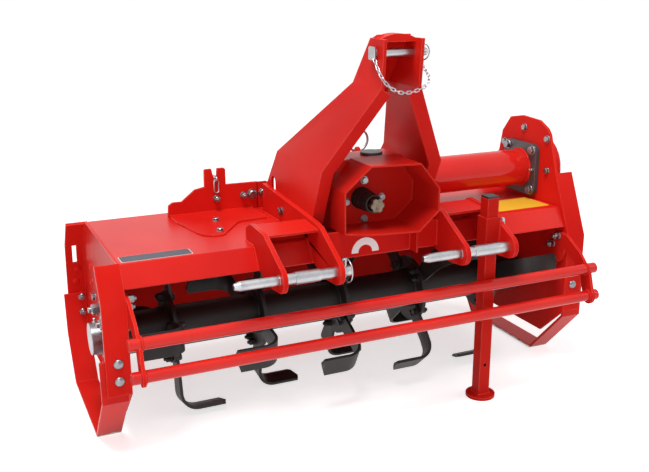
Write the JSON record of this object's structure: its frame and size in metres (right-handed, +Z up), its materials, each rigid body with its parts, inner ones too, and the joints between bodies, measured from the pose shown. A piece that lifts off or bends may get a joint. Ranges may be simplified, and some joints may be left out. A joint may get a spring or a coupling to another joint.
{
  "type": "rotary tiller",
  "caption": "Tractor mounted rotary tiller: hooded rotor of bent blades, side drive, three point mast, skids, hinged tailgate and parking stand.",
  "frame": {"origin": "on the ground below the middle of the machine's box", "axes": "+X across the machine to the drive case, +Y from the hitch to the tailgate, +Z up"},
  "size_m": [1.338, 0.73, 0.945],
  "materials": {
    "red_paint": "gloss",
    "black_paint": "satin",
    "zinc_plate": "zinc plated",
    "grey_paint": "satin",
    "bare_steel": "oiled, machined",
    "black_plastic": "moulded"
  },
  "bodies": {
    "machine": {"hood": "red_paint", "end_plate_left": "red_paint", "end_plate_drive": "red_paint", "skid_left": "red_paint", "skid_right": "red_paint", "drive_case": "red_paint", "bearing_hub": "zinc_plate", "gearbox": "red_paint", "gearbox_cover": "grey_paint", "drive_tube": "red_paint", "tube_flange": "grey_paint", "ring_lug": "red_paint", "lifting_ring": "zinc_plate", "shaft_boot": "black_plastic", "pto_guard": "red_paint", "hitch_bracket_left": "red_paint", "lower_pin_left": "zinc_plate", "hitch_bracket_right": "red_paint", "lower_pin_right": "zinc_plate", "front_plate": "red_paint", "mast_left": "red_paint", "mast_right": "red_paint", "mast_head": "red_paint", "top_link_pin": "zinc_plate", "rail_upper": "red_paint", "rail_lower": "red_paint", "rail_arms": "red_paint", "stand_sleeve": "red_paint", "tailgate_pin": "zinc_plate", "chain_holder": "red_paint", "pin_clips": "zinc_plate", "top_pin_chain": "zinc_plate", "tailgate_chain": "zinc_plate"},
    "rotor": {"rotor_shaft": "black_paint", "blades_1": "black_paint", "blades_2": "black_paint", "blades_3": "black_paint", "blades_4": "black_paint", "blades_5": "black_paint"},
    "pto_shaft": {"pto_shaft": "bare_steel"},
    "stand": {"stand_leg": "red_paint", "stand_cap": "black_plastic"},
    "tailgate": {"tailgate": "red_paint"}
  },
  "joints": [
    {"name": "rotor_spin", "type": "hinge", "parent": "machine", "child": "rotor", "pos_m": [-0.001, -0.01, 0.225], "axis": [1, 0, 0], "continuous": true},
    {"name": "pto_spin", "type": "hinge", "parent": "machine", "child": "pto_shaft", "pos_m": [-0.009, -0.18, 0.549], "axis": [0, 1, 0], "continuous": true},
    {"name": "tailgate_hinge", "type": "hinge", "parent": "machine", "child": "tailgate", "pos_m": [-0.001, 0.258, 0.414], "axis": [1, 0, 0], "range_deg": [0, 55]},
    {"name": "stand_slide", "type": "slide", "parent": "machine", "child": "stand", "axis": [0, 0, 1], "range_m": [0, 0.2]}
  ],
  "couplings": [
    {"joint": "pto_spin", "follows": "rotor_spin", "ratio": 2.6}
  ]
}
